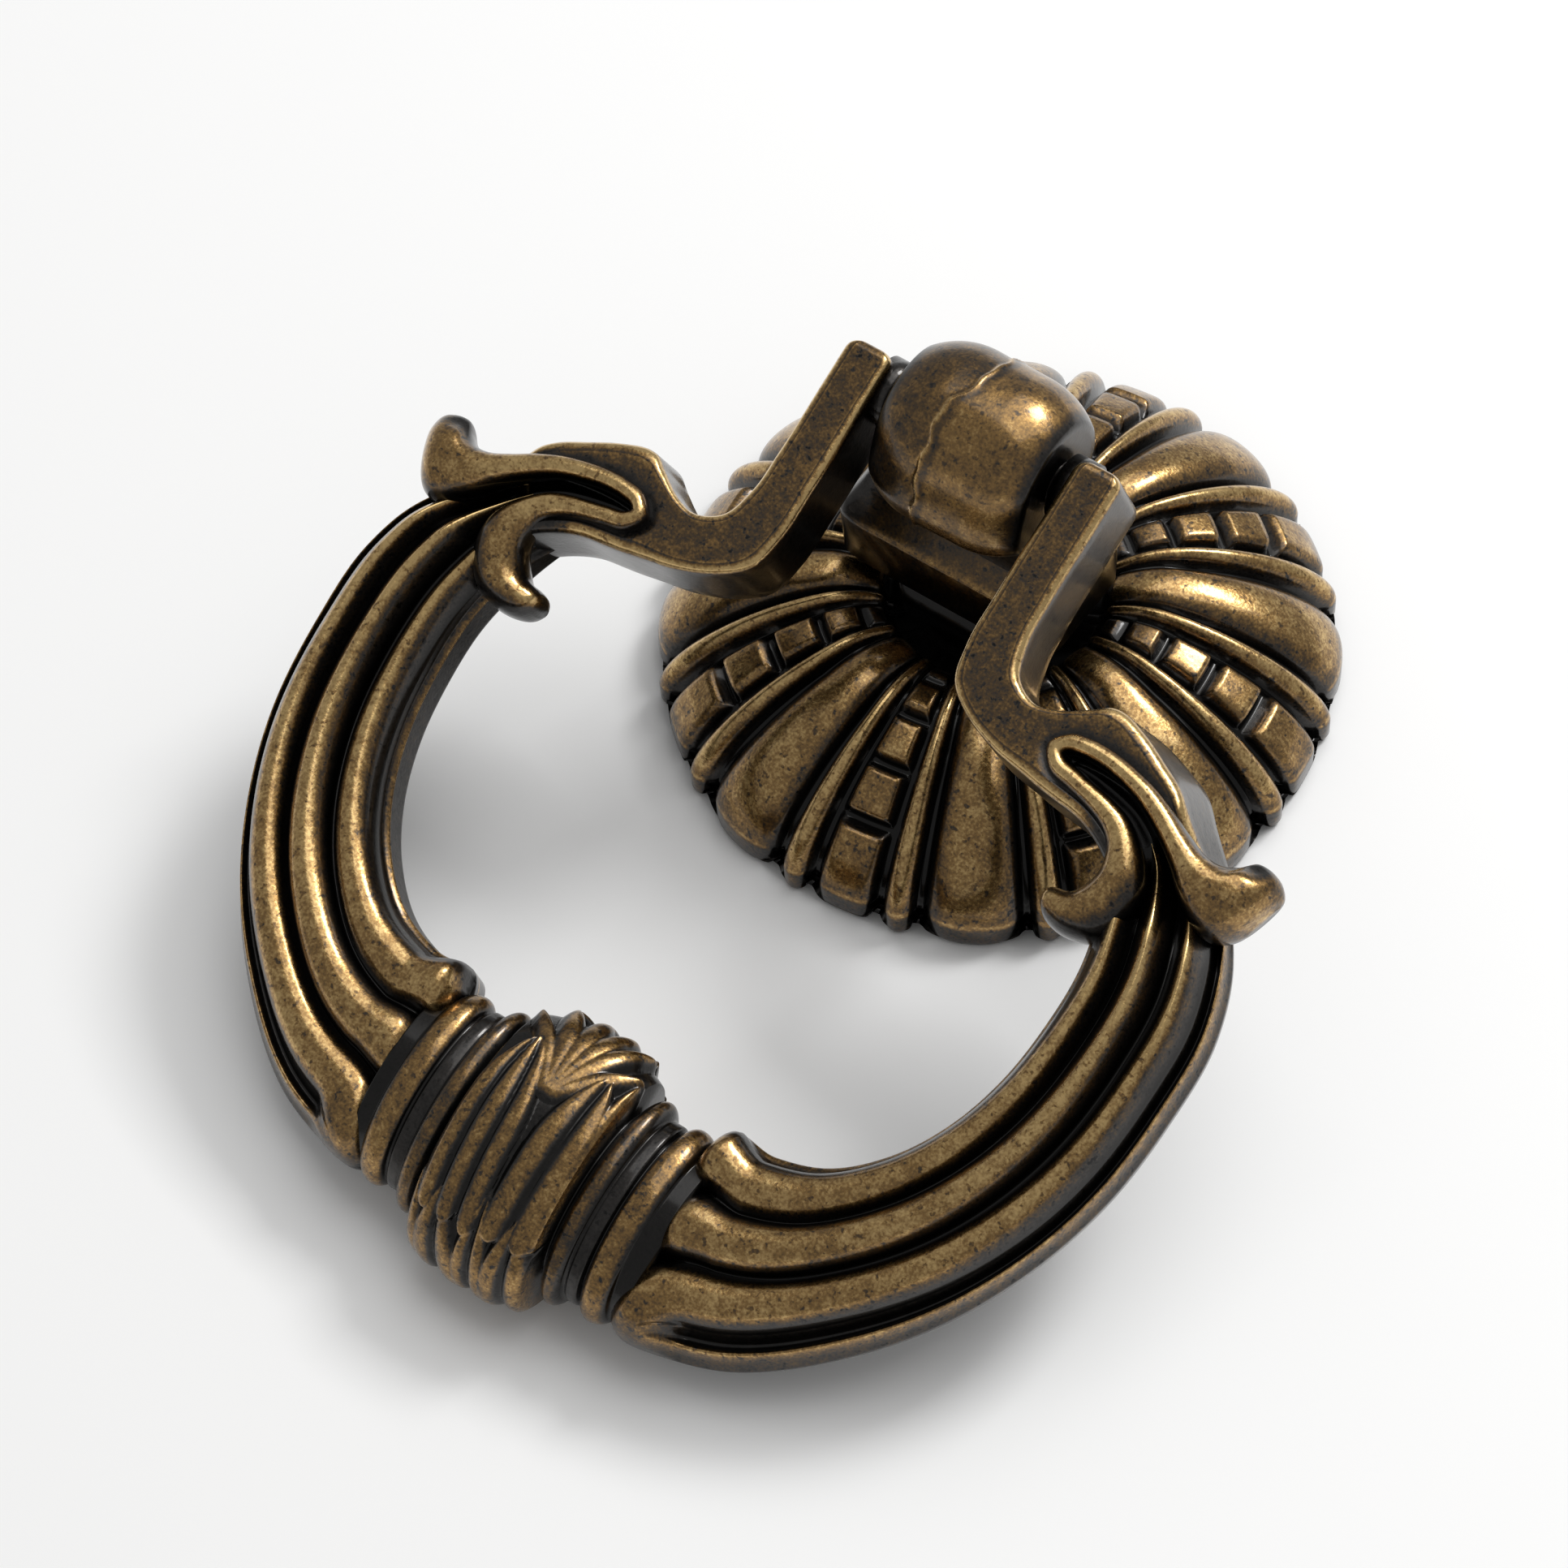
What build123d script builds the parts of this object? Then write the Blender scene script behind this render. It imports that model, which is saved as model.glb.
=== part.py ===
from build123d import *
from math import asin, cos, degrees, radians, sin, sqrt
import os

os.makedirs("parts", exist_ok=True)

# A drop ring pull on a domed rosette. The frame stands on the drawer face: Z leaves the face along the
# fixing screw's axis, X runs along the pivot, and the ring hangs towards -Y.

# Rosette: the domed backplate
rosette_radius = 21.9
rim_height = 1.6
shoulder_inset = 1.9
shoulder_height = 4.9
crown_radius = 10.5
crown_height = 9.2
rib_inner_radius = 7.2
rib_inner_height = 8.3
groove_depth = 1.1
dome_facets = 8
rosette_wall = 1.8
funnel_floor = 6.0
funnel_rise = 1.0

# Ornament: eight repeats of lobe, ridge, block strip, ridge
repeats = 8
lobe_direction = 30.0
lobe_angle = 18.5
ridge_angle = 7.2
flank_share = 0.8
ridge_share = 0.9
block_share = 0.8
block_gap = 0.7
block_bounds = [8.6, 11.6, 15.0, 18.4]

# Post: cross bar, neck, barrel head, tenon and spigot
pivot_height = 23.8
pivot_forward = 1.1
head_half_length = 5.4
head_radius = 5.4
head_straight = 1.8
neck_length = 8.2
neck_depth = 6.2
bar_length = 14.0
bar_depth = 9.2
bar_height = 4.2
bar_slope = 1.6
bar_draft = 0.35
tenon_length = 10.0
tenon_depth = 8.2
seat_height = 3.4
overhang_height = 9.3
seat_clearance = 0.2
spigot_radius = 3.4
boss_wall = 3.6
thread_radius = 1.65
thread_depth = 13.0

# Pivot: stubs on the bail run in blind holes in the head
stub_radius = 1.5
running_clearance = 0.05
stub_reach = 2.2
stub_end_gap = 0.4
pivot_boss_radius = 2.2
pivot_side_gap = 0.3

# Bail: arms and scrolled shoulders, measured along the bail from the pivot
arm_inner = 6.6
arm_width = 3.2
arm_end = 1.6
bail_thickness = 6.0
bend_reach = 15.5
bend_radius = 4.4
notch_reach = 12.6
notch_radius = 2.7
peak_reach = 9.8
peak_offset = 16.8
scroll_offset = 30.4
scroll_reach = 16.4
hook_reach = 23.0
curl_radius = 2.2
hook_offset = 20.9
slot_inset = 3.6
slot_width = 1.9
sweep_radius = 15.0
sweep_angle = 28.0
flare_radius = 5.5
flare_angle = 45.0
lead_angle = 10.0
hook_radius = 3.2
hook_angle = 165.0
ridge_width = 1.6
ridge_rise = 0.8

# Ring: three lobes that widen towards the collar
ring_outer_radius = 31.3
ring_outer_centre = 28.5
ring_inner_radius = 22.6
ring_inner_centre = 26.8
ring_inner_start = -12.0
ring_inner_stop = 34.0
ring_outer_start = -17.0
ring_outer_stop = 44.0
ring_bands = 11
ring_end = 10.2
ring_end_width = 13.4
lobe_crest = 3.5
side_crest = 2.9
flute_share = 0.42
ring_back_inset = 1.0

# Collar: beads and steps either side of a leaf-wrapped bulge
collar_reach = 50.2
collar_flatness = 0.58
bead_radius = 6.4
bead_waist = 5.5
bead_width = 1.9
step_radius = 6.9
step_width = 1.5
bulge_radius = 8.0
bulge_end_radius = 6.3
rest_gap = 0.1
leaf_rise = 0.9
leaf_rows = 4
leaf_ribs = 3
leaf_offset = 2.9
rib_length = 10.4
rib_width = 1.35
rib_spacing = 1.6
rib_fan = 9.0
rib_depth = 2.6

# At rest the collar's leaves just clear the drawer face: the lean that brings the flattened round there
leaf_radius = bulge_radius + leaf_rise
leaf_height = leaf_radius * collar_flatness
drop = pivot_height - rest_gap
spread = collar_reach**2 - leaf_radius**2 + leaf_height**2
reach_drop = drop * collar_reach
lean = degrees(asin((reach_drop - sqrt(reach_drop**2 - spread * (drop**2 - leaf_height**2))) / spread))
bail_plane = Plane(
    origin=(0, -pivot_forward, pivot_height),
    x_dir=(1, 0, 0),
    z_dir=(0, -sin(radians(lean)), cos(radians(lean))),
)


def radial_plane(angle):
    """The upright plane through the rosette's axis that points along an angle."""
    turn = radians(angle)
    return Plane(origin=(0, 0, 0), x_dir=(cos(turn), sin(turn), 0), z_dir=(sin(turn), -cos(turn), 0))


def dome_points(drop):
    """Points along the dome from rim to funnel edge, sunk below the ribs' crests by drop."""
    with BuildLine(mode=Mode.PRIVATE) as dome:
        Spline(
            (rosette_radius - drop, rim_height),
            (rosette_radius - shoulder_inset - drop, shoulder_height - drop / 2),
            (crown_radius, crown_height - drop),
            (rib_inner_radius, rib_inner_height - drop),
            tangents=[(-0.1, 1), (-1, -0.5)],
        )
    return [dome.line @ (facet / dome_facets) for facet in range(dome_facets + 1)]


def rib_section(angle, drop):
    """One radial section of the ribs, from the dome's surface down to the back plane."""
    with BuildSketch(radial_plane(angle)) as section:
        with BuildLine():
            Polyline(
                *dome_points(drop),
                (rib_inner_radius, seat_height),
                (hollow_radius - rosette_wall, 0),
                (rosette_radius - drop, 0),
                close=True,
            )
        make_face()
    return section.sketch


def rib_stations(angle, width, profile):
    """The angles and drops of one rib's sections, from its profile in shares of its width."""
    return [(angle + share * width, drop) for share, drop in profile]


# One repeat of the rosette's ribs, lofted through its radial sections, with cross grooves in its blocks
pitch = 360 / repeats
ridge_offset = lobe_angle / 2 + ridge_angle / 2
block_angle = pitch - lobe_angle - 2 * ridge_angle
block_direction = lobe_direction + pitch / 2
hollow_radius = rosette_radius - groove_depth - rosette_wall
lobe_flank = (1 - flank_share) * groove_depth
ridge_drop = (1 - ridge_share) * groove_depth
block_drop = (1 - block_share) * groove_depth
lobe_profile = [(-0.5, groove_depth), (-0.25, lobe_flank), (0, 0), (0.25, lobe_flank), (0.5, groove_depth)]
ridge_profile = [(-0.2, ridge_drop), (0.2, ridge_drop), (0.5, groove_depth)]
block_profile = [(-0.3, block_drop), (0.3, block_drop), (0.5, groove_depth)]

with BuildPart() as repeat:
    stations = rib_stations(lobe_direction, lobe_angle, lobe_profile)
    stations += rib_stations(lobe_direction + ridge_offset, ridge_angle, ridge_profile)
    stations += rib_stations(block_direction, block_angle, block_profile)
    stations += rib_stations(lobe_direction + pitch - ridge_offset, ridge_angle, ridge_profile)
    loft([rib_section(angle, drop) for angle, drop in stations], ruled=True)
    with BuildSketch(radial_plane(block_direction - block_angle / 2)) as cross_grooves:
        with Locations(*[(bound, crown_height / 2 + rim_height) for bound in block_bounds]):
            Rectangle(block_gap, crown_height)
        with BuildLine():
            Polyline(
                *dome_points(groove_depth),
                (rib_inner_radius, 0),
                (rosette_radius - groove_depth, 0),
                close=True,
            )
        make_face(mode=Mode.SUBTRACT)
    revolve(axis=Axis.Z, revolution_arc=block_angle, mode=Mode.SUBTRACT)

# The rosette: a hollow dome with the ribs on it and a keyed seat for the post
boss_radius = spigot_radius + seat_clearance + boss_wall
funnel_radius = rib_inner_radius + rosette_wall
hollow_height = rib_inner_height - groove_depth - rosette_wall
with BuildPart() as rosette:
    with BuildSketch(Plane.XZ) as funnel:
        with BuildLine():
            Polyline(
                (0, 0),
                (0, funnel_floor),
                (funnel_radius, funnel_floor + funnel_rise),
                (funnel_radius, 0),
                close=True,
            )
        make_face()
    revolve(axis=Axis.Z)
    with PolarLocations(0, repeats):
        add(repeat.part)
    with BuildSketch(Plane.XZ) as hollow:
        with BuildLine():
            Polyline(
                (boss_radius, 0),
                (boss_radius, seat_height - rosette_wall / 2),
                (funnel_radius, hollow_height),
                (crown_radius + rosette_wall, hollow_height),
                (hollow_radius - shoulder_inset, shoulder_height - rosette_wall),
                (hollow_radius, 0),
                close=True,
            )
        make_face()
    revolve(axis=Axis.Z, mode=Mode.SUBTRACT)
    with BuildSketch(Plane.XY.offset(seat_height)) as seat:
        Rectangle(tenon_length + 2 * seat_clearance, tenon_depth + 2 * seat_clearance)
    extrude(amount=crown_height, mode=Mode.SUBTRACT)
    with BuildSketch(Plane.XY) as spigot_hole:
        Circle(spigot_radius + seat_clearance)
    extrude(amount=seat_height, mode=Mode.SUBTRACT)

rosette.part.label = "rosette"
export_step(rosette.part, "parts/rosette.step")

# The post: tenon and spigot below, a sloped cross bar, a neck and the barrel head
bar_top = overhang_height + bar_height
head_end_radius = sqrt(head_radius**2 - (head_half_length - head_straight) ** 2)
with BuildPart() as post:
    with BuildSketch(Plane.XY) as spigot:
        Circle(spigot_radius)
    extrude(amount=seat_height)
    with BuildSketch(Plane.XY.offset(seat_height)) as tenon:
        Rectangle(tenon_length, tenon_depth)
    extrude(amount=overhang_height - seat_height)
    with BuildSketch(Plane.YZ) as bar_profile:
        with BuildLine():
            Polyline(
                (-bar_depth / 2 + bar_draft, overhang_height),
                (-bar_depth / 2, bar_top),
                (-neck_depth / 2, bar_top + bar_slope),
                (neck_depth / 2, bar_top + bar_slope),
                (bar_depth / 2, bar_top),
                (bar_depth / 2 - bar_draft, overhang_height),
                close=True,
            )
        make_face()
    extrude(amount=bar_length / 2, both=True)
    with BuildSketch(Plane.XY.offset(bar_top)) as neck:
        Rectangle(neck_length, neck_depth)
    extrude(amount=pivot_height - bar_top)
    with BuildSketch(Plane((0, -pivot_forward, pivot_height))) as head_profile:
        with BuildLine():
            Polyline(
                (-head_half_length, head_end_radius),
                (-head_half_length, 0),
                (head_half_length, 0),
                (head_half_length, head_end_radius),
            )
            Line((-head_straight, head_radius), (head_straight, head_radius))
            TangentArc((head_straight, head_radius), (head_half_length, head_end_radius), tangent=(1, 0))
            TangentArc((-head_straight, head_radius), (-head_half_length, head_end_radius), tangent=(-1, 0))
        make_face()
    revolve(axis=Axis((0, -pivot_forward, pivot_height), (1, 0, 0)))
    hole_depth = stub_reach + stub_end_gap
    with BuildSketch(Plane.YZ.offset(head_half_length - hole_depth)) as right_hole:
        with Locations((-pivot_forward, pivot_height)):
            Circle(stub_radius + running_clearance)
    extrude(amount=hole_depth, mode=Mode.SUBTRACT)
    with BuildSketch(Plane.YZ.offset(-head_half_length)) as left_hole:
        with Locations((-pivot_forward, pivot_height)):
            Circle(stub_radius + running_clearance)
    extrude(amount=hole_depth, mode=Mode.SUBTRACT)
    with BuildSketch(Plane.XY) as thread:
        Circle(thread_radius)
    extrude(amount=thread_depth, mode=Mode.SUBTRACT)

post.part.label = "post"
export_step(post.part, "parts/post.step")

# One half of the bail, right of the middle: arm, scrolled shoulder and half of the ring
half_thick = bail_thickness / 2
arm_outer = arm_inner + arm_width


def ring_section(inner, outer):
    """A three-lobed section that stands across the ring from its inner to its outer edge."""
    across = outer - inner
    width = across.length
    middle = bail_plane.from_local_coords((inner + outer) / 2)
    direction = bail_plane.from_local_coords(across) - bail_plane.origin
    plane = Plane(origin=middle, x_dir=direction, z_dir=direction.cross(bail_plane.z_dir))
    flute = lobe_crest - flute_share * width / 3
    side = side_crest - flute_share * width / 3
    with BuildSketch(plane) as section:
        with BuildLine():
            ThreePointArc((-width / 2, side), (-width / 3, side_crest), (-width / 6, flute))
            ThreePointArc((-width / 6, flute), (0, lobe_crest), (width / 6, flute))
            ThreePointArc((width / 6, flute), (width / 3, side_crest), (width / 2, side))
            Polyline(
                (width / 2, side),
                (width / 2 - ring_back_inset, -half_thick),
                (ring_back_inset - width / 2, -half_thick),
                (-width / 2, side),
            )
        make_face()
    return section.sketch


def ring_edge(radius, centre, start, stop, end_reach):
    """An edge of the half ring in plan: an arc about the ring's centre, eased into the collar."""
    with BuildLine(mode=Mode.PRIVATE) as edge:
        bow = CenterArc((0, -centre), radius, -start, start - stop)
        TangentArc(bow @ 1, (ring_end, -end_reach), tangent=bow % 1)
    return [edge.line @ (band / ring_bands) for band in range(ring_bands + 1)]


with BuildPart() as half_ring:
    inner_end = collar_reach - ring_end_width / 2
    outer_end = collar_reach + ring_end_width / 2
    inner_edge = ring_edge(ring_inner_radius, ring_inner_centre, ring_inner_start, ring_inner_stop, inner_end)
    outer_edge = ring_edge(ring_outer_radius, ring_outer_centre, ring_outer_start, ring_outer_stop, outer_end)
    loft([ring_section(inner, outer) for inner, outer in zip(inner_edge, outer_edge)], ruled=True)

with BuildPart() as half_shoulder:
    curl_start = (scroll_offset - 2 * curl_radius, -scroll_reach + curl_radius)
    curl_end = (scroll_offset - curl_radius, -scroll_reach - 1.4 * curl_radius)
    hook_start = (hook_offset + hook_radius, -hook_reach + hook_radius / 2)
    hook_tip = (hook_offset - 0.8 * hook_radius, -hook_reach + hook_radius / 2)
    hook_hollow = (hook_offset - hook_radius / 4, -hook_reach + hook_radius)
    hook_root = (hook_offset - 0.7 * hook_radius, -bend_reach - curl_radius)
    with BuildSketch(bail_plane) as outline:
        with BuildLine():
            Polyline(
                (arm_inner, -bend_reach + bend_radius),
                (arm_inner, arm_end),
                (arm_outer, arm_end),
                (arm_outer, -notch_reach + notch_radius),
            )
            TangentArc(
                (arm_outer, -notch_reach + notch_radius),
                (arm_outer + notch_radius, -notch_reach),
                tangent=(0, -1),
            )
            TangentArc((arm_outer + notch_radius, -notch_reach), (peak_offset, -peak_reach), tangent=(1, 0))
            TangentArc((peak_offset, -peak_reach), curl_start, tangent=(1, 0))
            ThreePointArc(curl_start, (scroll_offset, -scroll_reach), curl_end)
            Line(curl_end, hook_start)
            ThreePointArc(hook_start, (hook_offset, -hook_reach), hook_tip)
            ThreePointArc(hook_tip, hook_hollow, hook_root)
            TangentArc((arm_inner + bend_radius, -bend_reach), hook_root, tangent=(1, 0))
            TangentArc(
                (arm_inner, -bend_reach + bend_radius),
                (arm_inner + bend_radius, -bend_reach),
                tangent=(0, -1),
            )
        make_face()
    extrude(amount=half_thick, both=True)
    upper_row = -(peak_reach + slot_inset)
    lower_row = upper_row - slot_width
    with BuildSketch(bail_plane.offset(half_thick)) as scroll_ridge:
        with BuildLine():
            sweep = JernArc((peak_offset, upper_row), (1, 0), sweep_radius, -sweep_angle)
            JernArc(sweep @ 1, sweep % 1, flare_radius, flare_angle)
            TangentArc((peak_offset, upper_row), (peak_offset, lower_row), tangent=(-1, 0))
            lead = JernArc((peak_offset, lower_row), (1, 0), sweep_radius, -lead_angle)
            JernArc(lead @ 1, lead % 1, hook_radius, -hook_angle)
        trace(line_width=ridge_width)
    extrude(amount=ridge_rise)

with BuildPart() as half_pivot:
    boss_length = arm_inner - head_half_length - pivot_side_gap
    with BuildSketch(Plane.YZ.offset(head_half_length + pivot_side_gap)) as boss:
        with Locations((-pivot_forward, pivot_height)):
            Circle(pivot_boss_radius)
    extrude(amount=boss_length + arm_width / 2)
    with BuildSketch(Plane.YZ.offset(head_half_length - stub_reach)) as stub:
        with Locations((-pivot_forward, pivot_height)):
            Circle(stub_radius)
    extrude(amount=stub_reach + pivot_side_gap)

# The collar that joins the two halves
collar_half = ring_end
collar_origin = bail_plane.from_local_coords(Vector(0, -collar_reach, 0))


def collar_plane(offset):
    """The plane across the collar's axis at an offset from its middle."""
    return Plane(origin=collar_origin + Vector(offset, 0, 0), x_dir=bail_plane.y_dir, z_dir=(1, 0, 0))


def collar_band(stations):
    """A band of the collar, lofted through flattened rounds given as offset and radius."""
    sections = []
    for offset, radius in stations:
        with BuildSketch(collar_plane(offset)) as section:
            Ellipse(radius, radius * collar_flatness)
        sections.append(section.sketch)
    loft(sections, ruled=True)


def bulge_stations(rise):
    """Stations of the collar's bulge, raised by rise, along a parabola from end to end."""
    swell = bulge_radius - bulge_end_radius
    return [
        (share * step_inner, bulge_end_radius + rise + swell * (1 - share**2)) for share in (-1, -0.5, 0, 0.5, 1)
    ]


bead_inner = collar_half - bead_width
step_inner = bead_inner - step_width

with BuildPart() as collar_core:
    collar_band(bulge_stations(0))

with BuildPart() as leaf_envelope:
    collar_band(bulge_stations(leaf_rise))

with BuildPart() as half_collar:
    bead_edge = bead_width / 4
    collar_band(
        [
            (bead_inner, bead_waist),
            (bead_inner + bead_edge, bead_radius),
            (collar_half - bead_edge, bead_radius),
            (collar_half, bead_waist),
        ]
    )
    with BuildSketch(collar_plane(step_inner)) as step:
        Ellipse(step_radius, step_radius * collar_flatness)
    extrude(amount=step_width / 2)
    with BuildSketch(collar_plane(step_inner)) as waist:
        Ellipse(bead_waist, bead_waist * collar_flatness)
    extrude(amount=step_width)


def leaf_rib(centre, turn):
    """A long rib of a leaf, pointed at both tips."""
    tip = Vector(0, rib_length / 2).rotate(Axis.Z, turn)
    flank = Vector(rib_width / 2, 0).rotate(Axis.Z, turn)
    with BuildSketch(Plane.XY) as rib:
        with BuildLine():
            Polyline(
                centre + tip,
                centre + flank + tip / 3,
                centre + flank - tip / 3,
                centre - tip,
                centre - flank - tip / 3,
                centre - flank + tip / 3,
                close=True,
            )
        make_face()
    return rib.sketch


with BuildPart() as leaves:
    for row in range(leaf_rows):
        turn = radians(360 / leaf_rows * row)
        foot = bail_plane.y_dir * (leaf_radius * sin(turn)) + bail_plane.z_dir * (leaf_height * cos(turn))
        outward = bail_plane.y_dir * (leaf_height * sin(turn)) + bail_plane.z_dir * (leaf_radius * cos(turn))
        face = Plane(origin=collar_origin + foot, x_dir=(1, 0, 0), z_dir=outward)
        with BuildSketch(face.offset(leaf_rise)) as leaf_pair:
            for side in (-1, 1):
                for rib in range(leaf_ribs):
                    step = rib - (leaf_ribs - 1) / 2
                    add(leaf_rib(Vector(side * leaf_offset + step * rib_spacing, 0), -step * rib_fan))
        extrude(amount=-rib_depth - leaf_rise)
    add(leaf_envelope.part, mode=Mode.INTERSECT)

with BuildPart() as bail:
    add(half_shoulder.part)
    add(half_ring.part)
    add(half_pivot.part)
    add(half_collar.part)
    mirror(about=Plane.YZ)
    add(collar_core.part)
    add(leaves.part)

bail.part.label = "bail"
export_step(bail.part, "parts/bail.step")
print("bail leans", round(lean, 2), "degrees below level at rest")
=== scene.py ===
# %% [markdown]
# # A ring pull in aged brass
# The pull has three cast pieces: a domed rosette that lies on the drawer, a post that stands in it, and a
# ring that swings from the post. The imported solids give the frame, and this lesson dresses each of them with
# a finer mesh and a brass finish that is dark in the hollows and rubbed bright on the crests.

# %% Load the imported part
import math

import bmesh
import bpy
import numpy as np
from mathutils import Matrix, Vector


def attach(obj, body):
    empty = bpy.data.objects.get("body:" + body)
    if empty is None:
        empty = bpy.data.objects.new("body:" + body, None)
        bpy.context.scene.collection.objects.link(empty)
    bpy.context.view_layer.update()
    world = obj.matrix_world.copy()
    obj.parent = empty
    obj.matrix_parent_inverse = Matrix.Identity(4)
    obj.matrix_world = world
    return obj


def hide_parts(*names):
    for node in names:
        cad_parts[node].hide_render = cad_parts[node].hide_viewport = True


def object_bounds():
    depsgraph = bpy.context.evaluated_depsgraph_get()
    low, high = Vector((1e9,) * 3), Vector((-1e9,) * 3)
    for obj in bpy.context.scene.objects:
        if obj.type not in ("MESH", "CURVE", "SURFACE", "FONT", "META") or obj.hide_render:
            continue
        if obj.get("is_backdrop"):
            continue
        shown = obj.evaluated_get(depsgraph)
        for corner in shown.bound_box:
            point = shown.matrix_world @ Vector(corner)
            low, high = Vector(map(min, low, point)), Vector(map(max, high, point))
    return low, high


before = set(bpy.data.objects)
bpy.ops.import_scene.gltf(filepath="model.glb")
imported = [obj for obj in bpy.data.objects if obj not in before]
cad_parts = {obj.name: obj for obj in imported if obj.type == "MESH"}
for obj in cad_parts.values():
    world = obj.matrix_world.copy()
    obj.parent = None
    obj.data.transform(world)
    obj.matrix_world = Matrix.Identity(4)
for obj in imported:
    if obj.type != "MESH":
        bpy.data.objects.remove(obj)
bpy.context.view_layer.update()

MM = 0.001

# %% [markdown]
# ## The camera
# The photograph was taken with a long lens from high on the right, with a slight roll. The camera stands on
# the line that this view looks along, and is moved sideways so that the pull falls where it does in the
# picture.

# %% Camera
FRAME_PX = 1932
FOCAL_PX = 6000
AZIMUTH, ELEVATION, ROLL = math.radians(40), math.radians(57.06), math.radians(-5.12)
DISTANCE, SIDE, RISE = 311.01, 13.713, 8.253

right = Vector((math.cos(AZIMUTH), math.sin(AZIMUTH), 0))
back = Vector((
    math.sin(AZIMUTH) * math.cos(ELEVATION),
    -math.cos(AZIMUTH) * math.cos(ELEVATION),
    math.sin(ELEVATION),
))
up = back.cross(right)
camera_x = right * math.cos(ROLL) + up * math.sin(ROLL)
camera_y = up * math.cos(ROLL) - right * math.sin(ROLL)
camera = bpy.data.objects.new("camera", bpy.data.cameras.new("camera"))
bpy.context.scene.collection.objects.link(camera)
camera.matrix_world = Matrix((
    (camera_x.x, camera_y.x, back.x, 0),
    (camera_x.y, camera_y.y, back.y, 0),
    (camera_x.z, camera_y.z, back.z, 0),
    (0, 0, 0, 1),
))
camera.location = (back * DISTANCE - camera_x * SIDE - camera_y * RISE) * MM
camera.data.sensor_width = 36
camera.data.lens = 36 * FOCAL_PX / FRAME_PX
camera.data.clip_start, camera.data.clip_end = 0.01, 10
bpy.context.scene.camera = camera
print("camera at mm", [round(c / MM, 1) for c in camera.location], "lens", round(camera.data.lens, 1))

# %% [markdown]
# ## Shells of points
# Most of the cast forms here are grids of points: rows run along the piece and columns run round it. A shell
# keeps the points, the faces between them and one number per point for wear and painted shade: 0 in a hollow
# that kept its dark coat and 1 on a crest that hands have polished. In a few places the number is also lowered
# as
# painted shade: beside the scroll bead, along the head's seam and at its ends, and on the post's bar. The
# finish reads that number later, so wear and painted shade follow the form.

# %% Helpers for curves and shells
def smooth_line(points, count):
    """A smooth line through the points, with every column carried along, sampled evenly by length."""
    points = np.array(points, float)
    reach = np.r_[0, np.cumsum(np.linalg.norm(np.diff(points, axis=0), axis=1))]
    slope = np.gradient(points, reach, axis=0)
    along = np.linspace(0, reach[-1], count)
    k = np.clip(np.searchsorted(reach, along, side="right") - 1, 0, len(reach) - 2)
    span = (reach[k + 1] - reach[k])[:, None]
    t = (along - reach[k])[:, None] / span
    return (
        (2 * t**3 - 3 * t**2 + 1) * points[k]
        + (t**3 - 2 * t**2 + t) * span * slope[k]
        + (3 * t**2 - 2 * t**3) * points[k + 1]
        + (t**3 - t**2) * span * slope[k + 1]
    )


def ease(low, high, value):
    """0 below low, 1 above high and a smooth rise between them."""
    t = np.clip((value - low) / (high - low), 0, 1)
    return t * t * (3 - 2 * t)


def shell(points, rub_and_shade):
    """A shell over a grid of points that closes round its columns and is capped at both ends."""
    rows, cols = points.shape[:2]
    index = np.arange(rows * cols).reshape(rows, cols)
    closed = np.c_[index, index[:, :1]]
    quads = np.stack([closed[:-1, :-1], closed[1:, :-1], closed[1:, 1:], closed[:-1, 1:]], -1)
    faces = quads.reshape(-1, 4).tolist()
    faces += [index[0, ::-1].tolist(), index[-1].tolist()]
    spread = np.broadcast_to(rub_and_shade, (rows, cols)).ravel()
    return {"points": points.reshape(-1, 3), "rub_and_shade": spread, "faces": faces}


def mirrored(made):
    """The same shell on the other side of the pull."""
    return {**made, "points": made["points"] * [-1, 1, 1]}


def face_outward(mesh):
    """Turn all faces of a mesh outward."""
    work = bmesh.new()
    work.from_mesh(mesh)
    bmesh.ops.recalc_face_normals(work, faces=work.faces)
    work.to_mesh(mesh)
    work.free()


def cast(name, shells):
    """One mesh object from shells given in millimetres, with outward faces and the wear and painted shade on
    its points.
    """
    points, rub_and_shade, faces, offset = [], [], [], 0
    for made in shells:
        points.append(made["points"])
        rub_and_shade.append(made["rub_and_shade"])
        faces += [[i + offset for i in face] for face in made["faces"]]
        offset += len(made["points"])
    mesh = bpy.data.meshes.new(name)
    mesh.from_pydata((np.concatenate(points) * MM).tolist(), [], faces)
    wear = mesh.attributes.new("rub_and_shade", "FLOAT", "POINT")
    wear.data.foreach_set("value", np.concatenate(rub_and_shade).astype(np.float32))
    face_outward(mesh)
    mesh.polygons.foreach_set("use_smooth", [True] * len(mesh.polygons))
    made = bpy.data.objects.new(name, mesh)
    bpy.context.scene.collection.objects.link(made)
    print(name, "points", len(mesh.vertices), "faces", len(mesh.polygons))
    return made


# %% [markdown]
# ## The finish
# The brass looks coated dark and then rubbed back. One node group turns the number for wear and painted shade
# and four sizes of noise into a mask, so that the border between coat and metal breaks up into speckle as it
# does on a real casting. The noise is held back where little is rubbed or where shade is painted, so the
# hollows and the painted shade stay even. The group also gives a height for a slight pitting.

# %% The rubbed brass group
BARE_RATE, DRIFT, PIT_DEPTH = 2.5, 0.35, -0.5


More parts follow.
